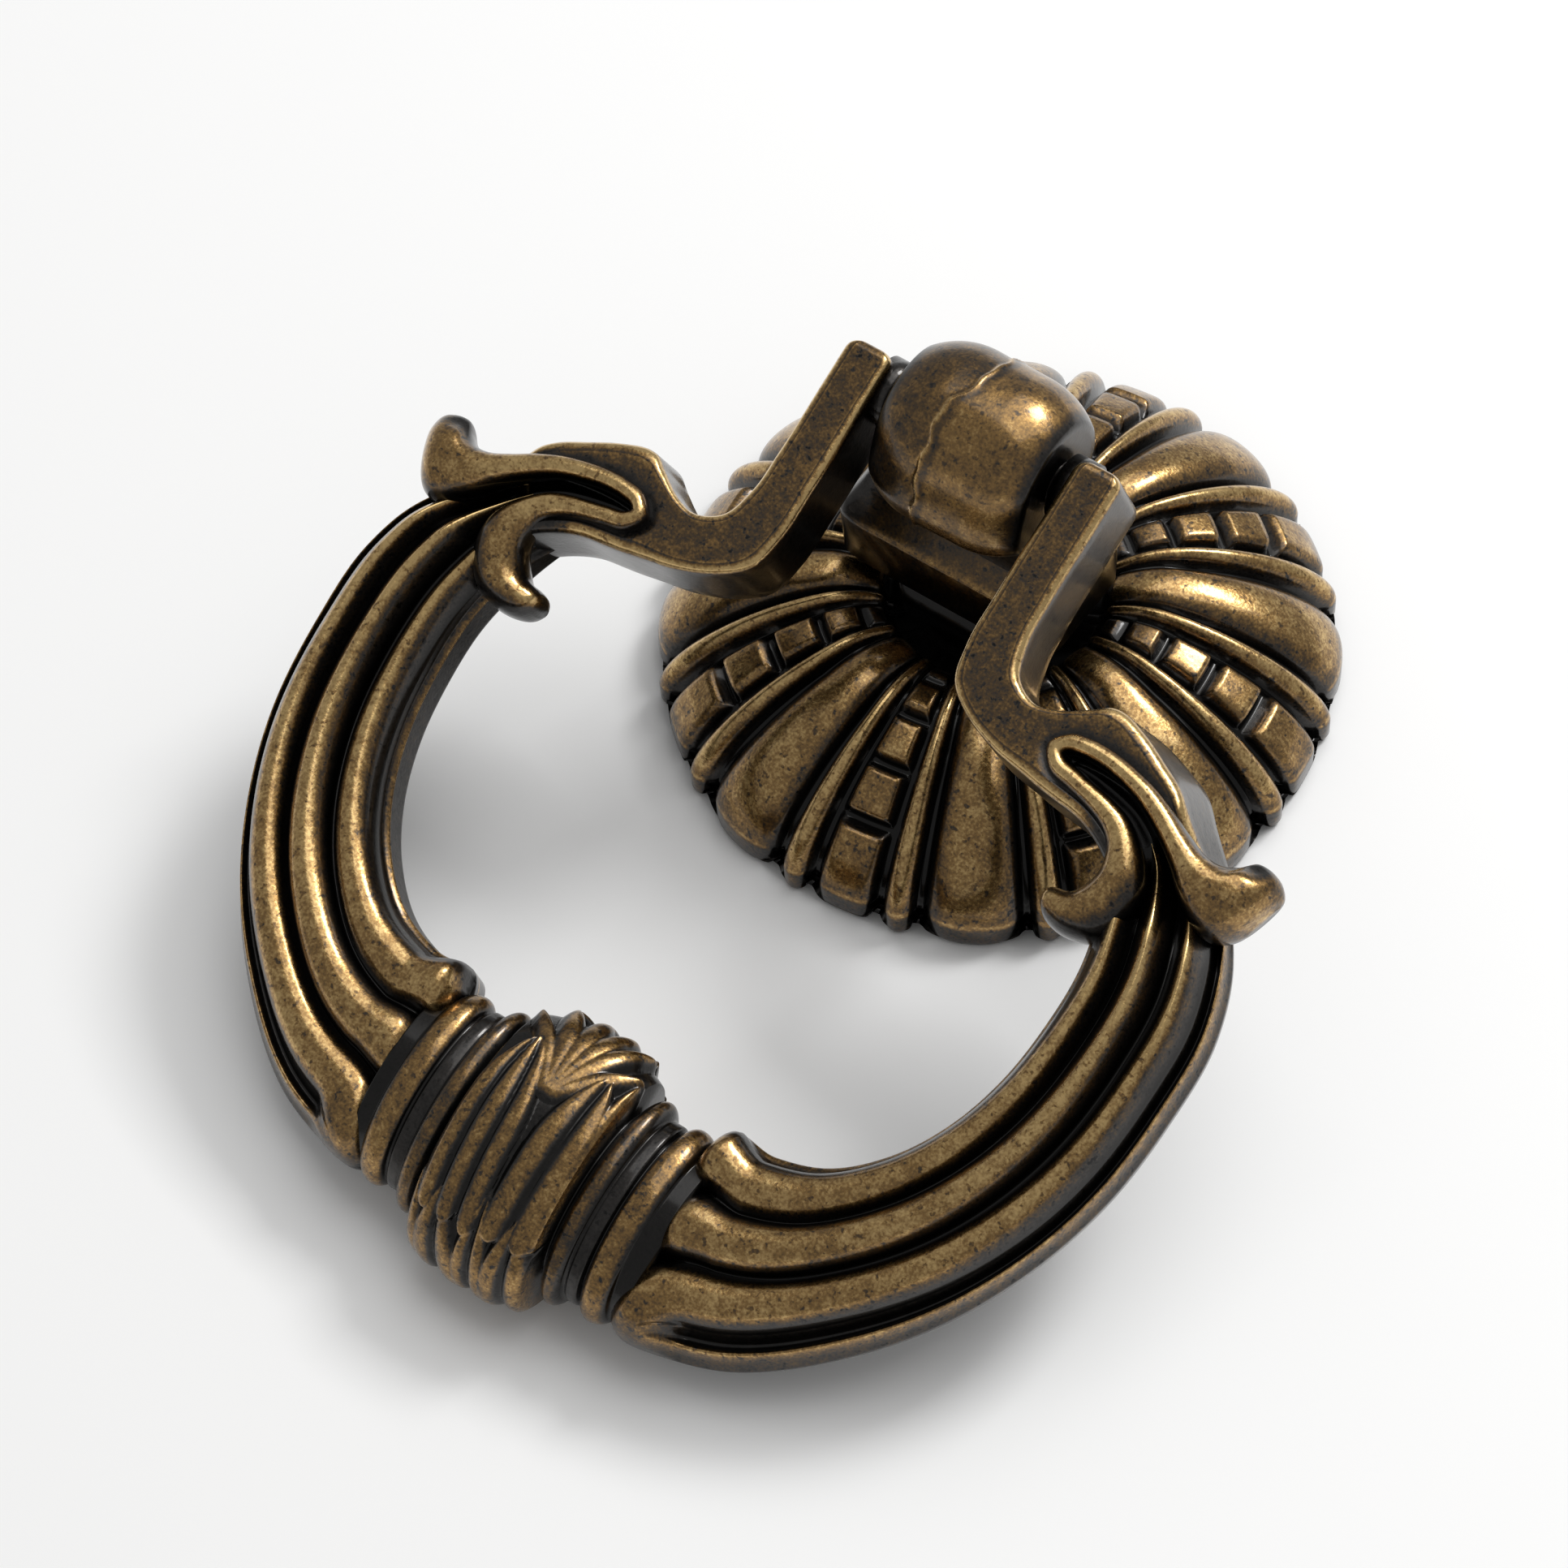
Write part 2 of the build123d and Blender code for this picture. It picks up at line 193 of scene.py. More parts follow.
def rubbed_brass_group():
    """A shader group: wear and painted shade in, colour, roughness and pit height out."""
    group = bpy.data.node_groups.new("rubbed_brass", "ShaderNodeTree")
    for label, default in (("Rub_and_shade", 0.5), ("Mottle", 0.5), ("Speckle", 0.5)):
        socket = group.interface.new_socket(label, in_out="INPUT", socket_type="NodeSocketFloat")
        socket.default_value = default
    group.interface.new_socket("Color", in_out="OUTPUT", socket_type="NodeSocketColor")
    for label in ("Roughness", "Height"):
        group.interface.new_socket(label, in_out="OUTPUT", socket_type="NodeSocketFloat")
    nodes, links = group.nodes, group.links
    inputs, outputs = nodes.new("NodeGroupInput"), nodes.new("NodeGroupOutput")
    place = nodes.new("ShaderNodeTexCoord").outputs["Object"]

    def noise(scale, detail):
        node = nodes.new("ShaderNodeTexNoise")
        node.inputs["Scale"].default_value = scale
        node.inputs["Detail"].default_value = detail
        links.new(place, node.inputs["Vector"])
        return node.outputs["Fac"]

    def maths(operation, a, b):
        node = nodes.new("ShaderNodeMath")
        node.operation = operation
        for socket, value in zip(node.inputs, (a, b)):
            if isinstance(value, (int, float)):
                socket.default_value = value
            else:
                links.new(value, socket)
        return node.outputs["Value"]

    grain, cloud, drift = noise(5200, 3), noise(1300, 3), noise(230, 2)
    bare = maths("MINIMUM", maths("MULTIPLY", inputs.outputs["Rub_and_shade"], BARE_RATE), 1.0)
    grit = maths("MULTIPLY", inputs.outputs["Speckle"], bare)
    speckle = maths("MULTIPLY", maths("SUBTRACT", grain, 0.5), grit)
    patch = maths("MULTIPLY", inputs.outputs["Mottle"], bare)
    mottle = maths("MULTIPLY", maths("SUBTRACT", cloud, 0.5), patch)
    broad = maths("MULTIPLY", maths("SUBTRACT", drift, 0.5), maths("MULTIPLY", bare, DRIFT))
    pits = nodes.new("ShaderNodeMapRange")
    pits.interpolation_type = "SMOOTHSTEP"
    pits.inputs["From Min"].default_value = 0.60
    pits.inputs["From Max"].default_value = 0.70
    links.new(noise(2400, 2), pits.inputs["Value"])
    pitted = maths("MULTIPLY", maths("MULTIPLY", pits.outputs["Result"], grit), PIT_DEPTH)
    worn = maths("ADD", maths("ADD", inputs.outputs["Rub_and_shade"], speckle), maths("ADD", mottle, broad))
    rubbed = maths("ADD", worn, pitted)
    ramp = nodes.new("ShaderNodeValToRGB")
    tones = [
        (0.00, (0.006, 0.0055, 0.005)),
        (0.22, (0.040, 0.036, 0.033)),
        (0.45, (0.110, 0.068, 0.031)),
        (0.70, (0.290, 0.168, 0.056)),
        (1.00, (0.640, 0.440, 0.185)),
    ]
    while len(ramp.color_ramp.elements) < len(tones):
        ramp.color_ramp.elements.new(0.5)
    for element, (position, tone) in zip(ramp.color_ramp.elements, tones):
        element.position = position
        element.color = (*tone, 1)
    links.new(rubbed, ramp.inputs["Fac"])
    links.new(ramp.outputs["Color"], outputs.inputs["Color"])
    smoothness = maths("MULTIPLY", rubbed, -0.10)
    roughness = maths("ADD", maths("MULTIPLY", grain, 0.12), maths("ADD", smoothness, 0.28))
    links.new(roughness, outputs.inputs["Roughness"])
    links.new(maths("ADD", maths("MULTIPLY", grain, 0.5), cloud), outputs.inputs["Height"])
    return group


# %% [markdown]
# ## Three brasses
# Each casting has a material of its own, so that its mottling, speckle and pitting can be set apart. All
# three place the same group on metal. A thin clear coat stands for lacquer and sharpens the highlights.

# %% The brass materials
RUBBED_BRASS = rubbed_brass_group()


def brass(name, mottle, speckle, pitting):
    """A brass material: the group's colour and roughness on metal, with its pits as a bump."""
    material = bpy.data.materials.new(name)
    material.use_nodes = True
    nodes, links = material.node_tree.nodes, material.node_tree.links
    metal = nodes["Principled BSDF"]
    metal.inputs["Metallic"].default_value = 1.0
    metal.inputs["Coat Weight"].default_value = 0.5
    metal.inputs["Coat Roughness"].default_value = 0.12
    skin = nodes.new("ShaderNodeGroup")
    skin.node_tree = RUBBED_BRASS
    skin.inputs["Mottle"].default_value = mottle
    skin.inputs["Speckle"].default_value = speckle
    rub_and_shade = nodes.new("ShaderNodeAttribute")
    rub_and_shade.attribute_name = "rub_and_shade"
    bump = nodes.new("ShaderNodeBump")
    bump.inputs["Strength"].default_value = pitting
    bump.inputs["Distance"].default_value = 0.05 * MM
    links.new(rub_and_shade.outputs["Fac"], skin.inputs["Rub_and_shade"])
    links.new(skin.outputs["Color"], metal.inputs["Base Color"])
    links.new(skin.outputs["Roughness"], metal.inputs["Roughness"])
    links.new(skin.outputs["Height"], bump.inputs["Height"])
    links.new(bump.outputs["Normal"], metal.inputs["Normal"])
    return material


ROSETTE_BRASS = brass("rosette_brass", 0.55, 0.70, 0.40)
POST_BRASS = brass("post_brass", 0.55, 0.50, 0.30)
BAIL_BRASS = brass("bail_brass", 0.55, 0.62, 0.40)
print("brass materials:", ROSETTE_BRASS.name, POST_BRASS.name, BAIL_BRASS.name)

# %% [markdown]
# ## The rosette
# The dome carries eight repeats of the same ornament: a broad lobe, a half-round ridge, a strip of blocks and
# a ridge again. The repeat is one sector of a surface of revolution, sunk along its own normal where a groove
# runs. The hollow back is closed by the drawer, so its shape is a plain guess.

# %% The dome's line and the relief on it
REPEATS, LOBE_DIRECTION = 8, 30.0
PITCH = 360 / REPEATS
LOBE_HALF, RIDGE_MIDDLE, RIDGE_HALF, BLOCK_HALF = 8.3, 12.75, 2.8, 5.5
BLOCK_BOUNDS = (8.6, 11.6, 15.0, 18.4)
RIM_RADIUS, RIM_HEIGHT, CROWN_RADIUS, CROWN_HEIGHT = 21.77, 1.6, 10.5, 9.15
LIP_RADIUS, LIP_HEIGHT, DOME_POWER = 7.3, 8.3, 1.58
GROOVE_DEPTH, RIDGE_SINK, BLOCK_SINK, GAP_HALF = 1.35, 0.05, 0.28, 0.46


def dome_profile():
    """The rosette's section from the funnel over the dome and back: radius, height, share of relief."""
    turn = np.linspace(0, math.pi / 2, 60)
    radius = CROWN_RADIUS + (RIM_RADIUS - CROWN_RADIUS) * np.sin(turn) ** (2 / DOME_POWER)
    height = RIM_HEIGHT + (CROWN_HEIGHT - RIM_HEIGHT) * np.cos(turn) ** (2 / DOME_POWER)
    lip = np.linspace(LIP_RADIUS, CROWN_RADIUS, 14)[:-1]
    fall = ((CROWN_RADIUS - lip) / (CROWN_RADIUS - LIP_RADIUS)) ** 2
    top = [(r, CROWN_HEIGHT - (CROWN_HEIGHT - LIP_HEIGHT) * f, 1) for r, f in zip(lip, fall)]
    top += [(r, z, 1) for r, z in zip(radius, height)]
    inside = [(3.0, 6.2, 0), (5.2, 6.4, 0), (6.5, 6.6, 0)]
    inside += [(6.9, 6.9, 0.2), (7.05, 7.5, 0.6), (7.12, 8.0, 0.9)]
    rim = [(RIM_RADIUS, 1.0, 1), (RIM_RADIUS, 0.4, 1), (RIM_RADIUS - 0.1, 0.1, 1), (RIM_RADIUS - 0.3, 0, 1)]
    hollow = [(19.0, 0), (17.1, 3.1), (12.3, 5.4), (9.0, 5.4), (7.2, 2.5), (7.2, 0), (3.6, 0), (3.6, 3.4)]
    return np.array(inside + top + rim + [(r, z, 0) for r, z in hollow])


def relief(angle, radius):
    """Depth of the ornament below the dome by angle from the lobe's middle, and its grooves' depth."""
    groove = GROOVE_DEPTH * np.clip((radius - 4) / 9, 0.4, 1)
    off = np.abs(angle)
    lobe = groove * (1 - np.sqrt(np.clip(1 - (off / LOBE_HALF) ** 2.4, 0, 1)))
    ridge_off = np.abs(off - RIDGE_MIDDLE) / RIDGE_HALF
    ridge = RIDGE_SINK + (groove - RIDGE_SINK) * (1 - np.sqrt(np.clip(1 - ridge_off**2, 0, 1)))
    block_off = np.abs(PITCH / 2 - off) / BLOCK_HALF
    block = BLOCK_SINK + (groove - BLOCK_SINK) * np.clip(block_off, 0, 1) ** 7
    for bound in BLOCK_BOUNDS:
        block = np.maximum(block, groove * np.exp(-(((radius - bound) / GAP_HALF) ** 4)))
    return np.minimum(np.minimum(lobe, ridge), block), groove


# %% [markdown]
# ## One sector
# The ornament repeats, so one sector is enough. Each point of the section is turned through the sector and
# sunk by the relief. Swept ribs would do as well, but on a grid the wear can follow the depth: bright crests,
# dark grooves, lobes a little duller than the ridges, and a fine bright line just above the rim.

# %% One sector of the rosette
SECTOR_STEPS = 104
LOBE_REACH, LOBE_SHEEN = 9.5, 0.84
profile = dome_profile()
slope = np.gradient(profile[:, :2], axis=0)
normal = np.stack([-slope[:, 1], slope[:, 0]], -1)
normal /= np.linalg.norm(normal, axis=1)[:, None]
angles = np.linspace(-PITCH / 2, PITCH / 2, SECTOR_STEPS + 1)
depth, groove = relief(angles[:, None], profile[None, :, 0])
sunk = depth * profile[None, :, 2]
radii = profile[None, :, 0] - normal[None, :, 0] * sunk
heights = np.maximum(profile[None, :, 1] - normal[None, :, 1] * sunk, 0)
turn = np.radians(angles + LOBE_DIRECTION)[:, None]
sector_points = np.stack([radii * np.cos(turn), radii * np.sin(turn), heights], -1)
sunk_share = depth / groove
dome_radius, dome_height, on_dome = profile.T[:, None, :]
sector_rub = (0.9 - 0.35 * ease(0.0, 0.35, sunk_share) - 0.55 * ease(0.3, 0.8, sunk_share)) * on_dome
sheen = np.where(np.abs(angles) < LOBE_REACH, LOBE_SHEEN, 1)[:, None]
sector_rub *= (0.40 + 0.60 * ease(1.4, 3.4, dome_height)) * sheen
rim_line = np.exp(-(((dome_height - 2.0) / 0.2) ** 2))
sector_rub += 0.40 * rim_line * (depth < 0.45 * groove) * (dome_radius > 20)
rows, cols = sector_points.shape[:2]
index = np.arange(rows * cols).reshape(rows, cols)
joined = np.c_[index, index[:, :1]]
sector_corners = [joined[:-1, :-1], joined[:-1, 1:], joined[1:, 1:], joined[1:, :-1]]
sector_faces = np.stack(sector_corners, -1).reshape(-1, 4)
sector = bpy.data.objects.new("rosette_sector", bpy.data.meshes.new("rosette_sector"))
sector.data.from_pydata((sector_points.reshape(-1, 3) * MM).tolist(), [], sector_faces.tolist())
sector_wear = sector.data.attributes.new("rub_and_shade", "FLOAT", "POINT")
sector_wear.data.foreach_set("value", sector_rub.ravel().astype(np.float32))
bpy.context.scene.collection.objects.link(sector)
print("sector of", PITCH, "degrees, faces", len(sector_faces))

# %% [markdown]
# ## Eight sectors
# Geometry Nodes set copies of the sector round the axis, weld their edges and give them the brass. The result
# is frozen into a plain mesh, because the rosette is one casting.

# %% Eight sectors by Geometry Nodes
def turned_copies_tree():
    """A node tree that sets copies of a mesh round the Z axis, welds them and gives them a material."""
    tree = bpy.data.node_groups.new("turned_copies", "GeometryNodeTree")
    tree.interface.new_socket("Sector", in_out="INPUT", socket_type="NodeSocketGeometry")
    tree.interface.new_socket("Copies", in_out="INPUT", socket_type="NodeSocketInt").default_value = 8
    tree.interface.new_socket("Weld", in_out="INPUT", socket_type="NodeSocketFloat").default_value = 0.00001
    tree.interface.new_socket("Finish", in_out="INPUT", socket_type="NodeSocketMaterial")
    tree.interface.new_socket("Casting", in_out="OUTPUT", socket_type="NodeSocketGeometry")
    add, link = tree.nodes.new, tree.links.new
    inputs, outputs = add("NodeGroupInput"), add("NodeGroupOutput")
    spots = add("GeometryNodePoints")
    link(inputs.outputs["Copies"], spots.inputs["Count"])
    number = add("GeometryNodeInputIndex")
    step = add("ShaderNodeMath")
    step.operation = "DIVIDE"
    step.inputs[0].default_value = 2 * math.pi
    link(inputs.outputs["Copies"], step.inputs[1])
    swing = add("ShaderNodeMath")
    swing.operation = "MULTIPLY"
    link(number.outputs["Index"], swing.inputs[0])
    link(step.outputs["Value"], swing.inputs[1])
    spin = add("ShaderNodeCombineXYZ")
    link(swing.outputs["Value"], spin.inputs["Z"])
    copies = add("GeometryNodeInstanceOnPoints")
    link(spots.outputs["Points"], copies.inputs["Points"])
    link(inputs.outputs["Sector"], copies.inputs["Instance"])
    link(spin.outputs["Vector"], copies.inputs["Rotation"])
    real = add("GeometryNodeRealizeInstances")
    link(copies.outputs["Instances"], real.inputs["Geometry"])
    weld = add("GeometryNodeMergeByDistance")
    link(real.outputs["Geometry"], weld.inputs["Geometry"])
    link(inputs.outputs["Weld"], weld.inputs["Distance"])
    smooth = add("GeometryNodeSetShadeSmooth")
    link(weld.outputs["Geometry"], smooth.inputs["Geometry"])
    finish = add("GeometryNodeSetMaterial")
    link(smooth.outputs["Geometry"], finish.inputs["Geometry"])
    link(inputs.outputs["Finish"], finish.inputs["Material"])
    link(finish.outputs["Geometry"], outputs.inputs["Casting"])
    return tree


def frozen(source, name):
    """A plain mesh object made from an object as its modifiers show it, which takes the object's place."""
    graph = bpy.context.evaluated_depsgraph_get()
    mesh = bpy.data.meshes.new_from_object(source.evaluated_get(graph))
    mesh.name = name
    made = bpy.data.objects.new(name, mesh)
    bpy.context.scene.collection.objects.link(made)
    bpy.data.objects.remove(source)
    return made


copies = sector.modifiers.new("turned copies", "NODES")
copies.node_group = turned_copies_tree()
for socket in copies.node_group.interface.items_tree:
    if socket.name == "Copies":
        copies[socket.identifier] = REPEATS
    if socket.name == "Finish":
        copies[socket.identifier] = ROSETTE_BRASS
rosette = frozen(sector, "rosette_casting")
face_outward(rosette.data)
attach(rosette, "base")
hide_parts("rosette")
print("rosette faces", len(rosette.data.polygons), "box mm", [round(d / MM, 2) for d in rosette.dimensions])

# %% [markdown]
# ## The post
# The post is a rough casting: a barrel head that carries the ring, a short neck and a cross bar that sits
# over the funnel. A seam wanders over the head where the two halves of the mould met, and one half stands a
# little proud of the other. The head is a round shell whose radius steps at the seam and swells at the chin.

# %% Head with its wandering seam
PIVOT_HEIGHT, PIVOT_FORWARD = 23.8, 1.1
HEAD_HALF, HEAD_RADIUS, HEAD_STRAIGHT = 5.4, 5.4, 1.8
SEAM_STEP, SEAM_LINE, HEAD_INSET = 0.10, 0.08, 0.20
CHIN_RISE, CHIN_ANGLE, CHIN_SPREAD = 0.9, 2.05, 0.45


def seam_offset(angle):
    """Where the mould seam crosses the head: its distance from the middle, by angle from the top."""
    return -0.3 - 0.95 * ease(-0.1, 0.35, angle) + 0.12 * np.sin(9 * angle) + 0.08 * np.sin(17 * angle)


station = np.r_[-HEAD_HALF, np.linspace(-HEAD_HALF, HEAD_HALF, 120), HEAD_HALF]
angle = np.linspace(-math.pi, math.pi, 200, endpoint=False)
bow = np.clip(np.abs(station) - HEAD_STRAIGHT, 0, None)
ball = np.sqrt(HEAD_RADIUS**2 - bow**2)
ball[[0, -1]] -= 0.5
ball[[1, -2]] -= 0.12
from_seam = station[:, None] - seam_offset(angle)[None, :]
proud = SEAM_STEP * ease(-0.15, 0.05, from_seam) + SEAM_LINE * np.exp(-((from_seam / 0.16) ** 2)) - HEAD_INSET
dent = 0.06 * np.sin(2.1 * angle + 0.6)[None, :] * np.sin(0.5 * station + 0.4)[:, None]
chin = CHIN_RISE * np.exp(-(((angle - CHIN_ANGLE) / CHIN_SPREAD) ** 2))
head_radius = ball[:, None] + proud + dent + chin[None, :]
head_points = np.stack([
    np.broadcast_to(station[:, None], head_radius.shape),
    -PIVOT_FORWARD - head_radius * np.sin(angle),
    PIVOT_HEIGHT + head_radius * np.cos(angle),
], -1)
head_rub_and_shade = 0.47 + 0.17 * ease(-0.1, 0.1, from_seam) + 0.35 * np.exp(-(((from_seam + 0.06) / 0.16) ** 2))
# Painted shade: a dark band just beside the seam's bright line.
head_rub_and_shade -= 0.28 * np.exp(-(((from_seam - 0.40) / 0.28) ** 2))
# Painted shade: the head darkens towards its ends, in the gaps at the arms' bosses.
head_rub_and_shade *= 1 - 0.8 * ease(4.4, 5.4, np.abs(station))[:, None]
head = shell(head_points, head_rub_and_shade)
print("head seam offsets", seam_offset(np.array([0, 1.0, 1.57])).round(2))

# %% [markdown]
# ## Neck, bar and spigot
# The neck stands on the cross bar, and below the bar a tenon and a round spigot go down into the rosette. In
# the photograph an arm hides the bar's left end, so its length there is a guess, and the bar is set a little
# to the left. Shells through rounded rectangles give the blocks, and a turned shell gives the spigot.

# %% Neck, cross bar, tenon and spigot
BAR_MIDDLE, BAR_POWER = -1.3, 0.22


def block_shell(sections, rub_and_shade, middle=0.0, power=0.16):
    """A shell through rounded rectangles, each a height, half length, half depth and share of the wear and
    painted shade.
    """
    turn = np.linspace(0, 2 * math.pi, 96, endpoint=False)
    grid, shares = [], []
    for height, half_length, half_depth, share in sections:
        x = middle + half_length * np.sign(np.cos(turn)) * np.abs(np.cos(turn)) ** power
        y = half_depth * np.sign(np.sin(turn)) * np.abs(np.sin(turn)) ** power
        grid.append(np.stack([x, y, np.full_like(x, height)], -1))
        # Painted shade: the share falls towards a block's long ends, and on the bar these lie under the arms.
        shares.append(rub_and_shade * share * (1 - 0.75 * ease(4.5, 7.5, np.abs(x - middle))))
    return shell(np.array(grid), np.array(shares))


neck = block_shell(
    [(13.0, 4.6, 3.3, 0.4), (15.2, 4.3, 3.2, 0.5), (17.0, 4.2, 3.2, 0.7), (21.5, 4.4, 3.5, 0.7)],
    0.35,
)
# The low shares on the bar's top slopes are painted shade under the head and arms.
bar = block_shell(
    [
        (9.3, 7.6, 3.9, 0.1), (9.35, 7.8, 4.15, 0.4), (9.6, 7.98, 4.28, 0.7), (13.6, 7.98, 4.55, 0.7),
        (13.9, 7.92, 4.5, 1.1), (14.2, 7.75, 4.1, 0.65), (15.4, 7.0, 3.2, 0.55), (15.5, 6.8, 3.0, 0.5),
    ],
    0.6,
    middle=BAR_MIDDLE,
    power=BAR_POWER,
)
tenon = block_shell([(3.4, 5.0, 4.1, 0.1), (9.4, 5.0, 4.1, 0.1)], 0.5)
circle = np.linspace(0, 2 * math.pi, 48, endpoint=False)
round_section = np.stack([np.cos(circle), np.sin(circle)], -1)


def turned(stations, axis_x=False, rub_and_shade=0.2):
    """A turned shell through rounds given as place along the axis and radius."""
    rings = []
    for place, radius in stations:
        flat = round_section * radius
        along = np.full((len(flat), 1), place)
        if axis_x:
            rings.append(np.hstack([along, flat + [-PIVOT_FORWARD, PIVOT_HEIGHT]]))
        else:
            rings.append(np.hstack([flat, along]))
    return shell(np.array(rings), rub_and_shade)


spigot = turned([(3.4, 3.4), (0.2, 3.4), (0, 3.2), (0, 1.75), (0.3, 1.6), (12.5, 1.6)])
post = cast("post_casting", [head, neck, bar, tenon, spigot])
post.data.materials.append(POST_BRASS)
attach(post, "base")
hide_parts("post")

# %% [markdown]
# ## The ring's frame
# The ring leans down to the drawer, so its pieces are laid out in its own plane: x across, s along the ring
# from the pivot, and h out of its front face. One helper carries such points into the shared frame.

# %% From the ring's plane to the frame
LEAN = math.radians(20.92)
ALONG = np.array([0, -math.cos(LEAN), -math.sin(LEAN)])
OUT = np.array([0, -math.sin(LEAN), math.cos(LEAN)])


def on_ring(x, s, h):
    """Points of the ring's plane in the shared frame, in millimetres."""
    x, s, h = np.broadcast_arrays(np.asarray(x, float), np.asarray(s, float), np.asarray(h, float))
    place = s[..., None] * ALONG + h[..., None] * OUT + [0, -PIVOT_FORWARD, PIVOT_HEIGHT]
    place[..., 0] += x
    return place


print("the ring leans", round(math.degrees(LEAN), 2), "degrees")

# %% [markdown]
# ## Arms and shoulders
# An arm is a flat bar that bends outward into the shoulder. It is a strip between an inner and an outer edge,
# with a rounded corner all along that wear has polished into a bright line. The walls kept their dark coat.
# A station is a point of the inner edge, a point of the outer edge and a flare that widens the outer wall
# towards the back. The first stations are drawn in to round off the arm's end.

# %% A strip with rounded corners
def corner_arc(count):
    """Angles of a quarter round in even steps."""
    return np.linspace(0, math.pi / 2, count)


def strip_section(top_steps):
    """A bar's section: shares of width, corner across, corner up, height and flare, and the rub."""
    rows = [(0, 0, 0, hs, 0, 0.20) for hs in np.linspace(0, 1, 7)[1:-1]]
    rows += [(0, 1 - math.cos(t), math.sin(t), 1, 0, 0.3 + 0.75 * math.sin(2 * t)) for t in corner_arc(7)]
    top = np.linspace(0, 1, top_steps)[1:-1]
    rows += [(a, 1 - 2 * a, 1, 1, 0, 0.42 + 0.4 * abs(2 * a - 1) ** 10) for a in top]
    rows += [(1, math.sin(t) - 1, math.cos(t), 1, 0, 0.3 + 0.75 * math.sin(2 * t)) for t in corner_arc(7)]
    rows += [(1, 0, 0, hs, 1 - hs, 0.20) for hs in np.linspace(1, 0, 7)[1:-1]]
    rows += [(1, math.cos(t) - 1, -math.sin(t), 0, 1, 0.25) for t in corner_arc(5)]
    rows += [(a, 1 - 2 * a, -1, 0, a, 0.2) for a in np.linspace(1, 0, 8)[1:-1]]
    rows += [(0, 1 - math.sin(t), -math.cos(t), 0, 0, 0.25) for t in corner_arc(5)]
    return np.array(rows).T


ARM_TOP, ARM_BACK, ARM_CORNER = 3.0, -2.98, 0.55
ARM_EDGES = [
    (6.6, -1.52, 9.8, -1.52, 0.0), (6.6, 2.0, 9.8, 2.0, 0.0), (6.6, 8.0, 9.8, 7.0, 0.0),
    (6.7, 11.4, 9.95, 9.7, 0.1), (7.35, 13.8, 10.7, 11.75, 0.1), (9.0, 15.1, 12.2, 12.55, 0.2),
    (11.4, 16.05, 13.8, 12.2, 0.25), (13.8, 16.5, 15.5, 11.15, 0.2), (15.5, 16.8, 16.5, 10.50, 0.25),
    (16.3, 16.9, 17.1, 10.45, 0.35), (18.0, 17.15, 18.8, 10.95, 0.65), (19.8, 17.9, 20.8, 11.9, 0.95),
    (21.3, 18.9, 22.6, 12.9, 1.1), (22.2, 19.6, 24.0, 14.2, 1.0), (23.2, 20.4, 25.7, 15.7, 0.9),
]
edges = smooth_line(ARM_EDGES, 190)
END_CORNER, END_STEPS, END_SKIP = 0.9, 9, 8
edges = np.r_[np.repeat(edges[:1], END_STEPS, 0), edges[END_SKIP:]]
inner, outer, flare = edges[:, 0:2], edges[:, 2:4], edges[:, 4]
width = np.linalg.norm(outer - inner, axis=1)
across = (outer - inner) / width[:, None]
share, step_u, step_h, level, flared, strip_rub = strip_section(44)
corner = ARM_CORNER + 0.2 * ease(13, 17, outer[:, 0])
u = share * width[:, None] + step_u * corner[:, None] + flared * flare[:, None]
h = ARM_BACK + corner[:, None] + (ARM_TOP - ARM_BACK - 2 * corner[:, None]) * level + step_h * corner[:, None]
h -= 1.6 * ease(23.0, 25.2, outer[:, 0])[:, None] * level
plan = inner[:, None, :] + across[:, None, :] * u[..., None]
rub_and_shade = np.broadcast_to(strip_rub, h.shape).copy()
end_x = plan[0, :, 0].copy()
for station, bend in enumerate(np.linspace(0, math.pi / 2, END_STEPS)):
    inset, back_off = END_CORNER * (1 - math.sin(bend)), END_CORNER * (1 - math.cos(bend))
    plan[station, :, 0] = inner[0, 0] + inset + (end_x - inner[0, 0]) * (1 - 2 * inset / width[0])
    plan[station, :, 1] = inner[0, 1] + back_off
    drop = ARM_CORNER * (1 - math.sqrt(1 - max(0, 1 - back_off / ARM_CORNER) ** 2))
    h[station] += drop * (1 - 2 * level)
    rub_and_shade[station] += 0.4 * (1 - math.sin(bend)) * (h[station] > 2.2)
rub_and_shade[:, share == 0] *= 1 - 0.8 * ease(17.8, 19.8, inner[:, :1])
print("arm strip", h.shape, "widest", round(width.max(), 2), "mm")

# %% [markdown]
# ## The scroll
# A bead runs round a narrow slot on the shoulder and ends in two curls: one flares outward like a horn, the
# other hooks inward. It could be swept along one curve, but its width changes fast, so it is a tube between
# two edges, each station with a height and a half height.

